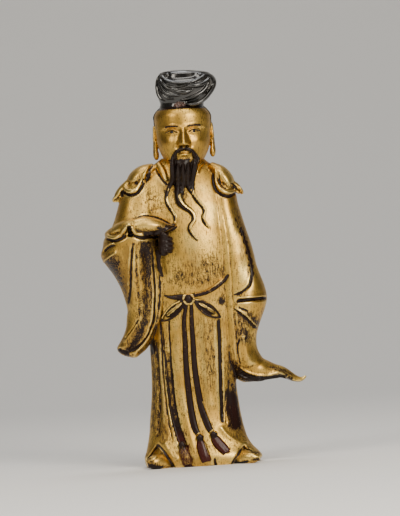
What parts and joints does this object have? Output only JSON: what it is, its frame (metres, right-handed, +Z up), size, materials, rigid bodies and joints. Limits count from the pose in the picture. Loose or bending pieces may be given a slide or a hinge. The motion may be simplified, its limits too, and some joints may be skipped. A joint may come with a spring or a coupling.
{
  "type": "standing immortal figure",
  "caption": "Standing bearded figure in a soft folded cap and wide-sleeved robe with a tied sash, cast in bronze and gilded, resting on its flat base.",
  "frame": {"origin": "centre of the flat underside that the figure stands on", "axes": "+Z up the height of the figure, -Y the way it faces, +X to the right of someone facing it"},
  "size_m": [0.1251, 0.0585, 0.25],
  "materials": {
    "gilt_bronze": "worn gilding over red-brown and black lacquer on cast bronze"
  },
  "bodies": {
    "root": {"figure": "gilt_bronze"}
  },
  "joints": []
}
